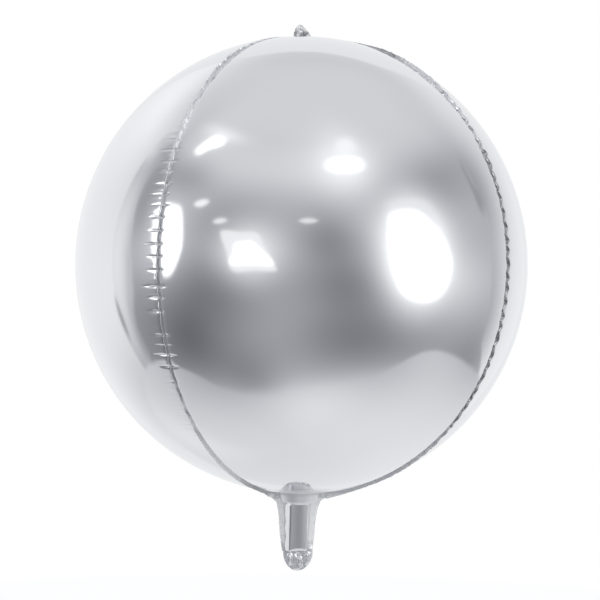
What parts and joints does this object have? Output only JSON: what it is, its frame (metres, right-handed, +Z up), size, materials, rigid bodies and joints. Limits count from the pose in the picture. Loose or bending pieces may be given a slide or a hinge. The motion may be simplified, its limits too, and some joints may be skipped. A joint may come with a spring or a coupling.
{
  "type": "round foil balloon",
  "caption": "Round foil balloon of silver film panels joined by standing weld seams, with a gathered top tuft and a flat welded neck that ends in a pressed tab",
  "frame": {"origin": "the centre of the ball, where the air that it floats in carries it", "axes": "+Z up through the top tuft, -Z down the neck, -Y out of the middle of the front panel, +X to the right seen from the front"},
  "size_m": [0.4, 0.4, 0.4911],
  "materials": {
    "foil": "mirror-bright metallised film, faintly wrinkled, puckered along the seams",
    "weld": "heat-sealed metallised film, crinkled and a little duller than the panels",
    "crumpled_foil": "crumpled metallised film with small bright facets"
  },
  "bodies": {
    "root": {"panel_front": "foil", "panel_right": "foil", "panel_back": "foil", "panel_left": "foil", "seam_front_left": "weld", "seam_front_right": "weld", "seam_back_left": "weld", "seam_back_right": "weld", "neck_weld_left": "weld", "neck_weld_right": "weld", "tail_tab": "weld", "top_tuft": "crumpled_foil"}
  },
  "joints": []
}
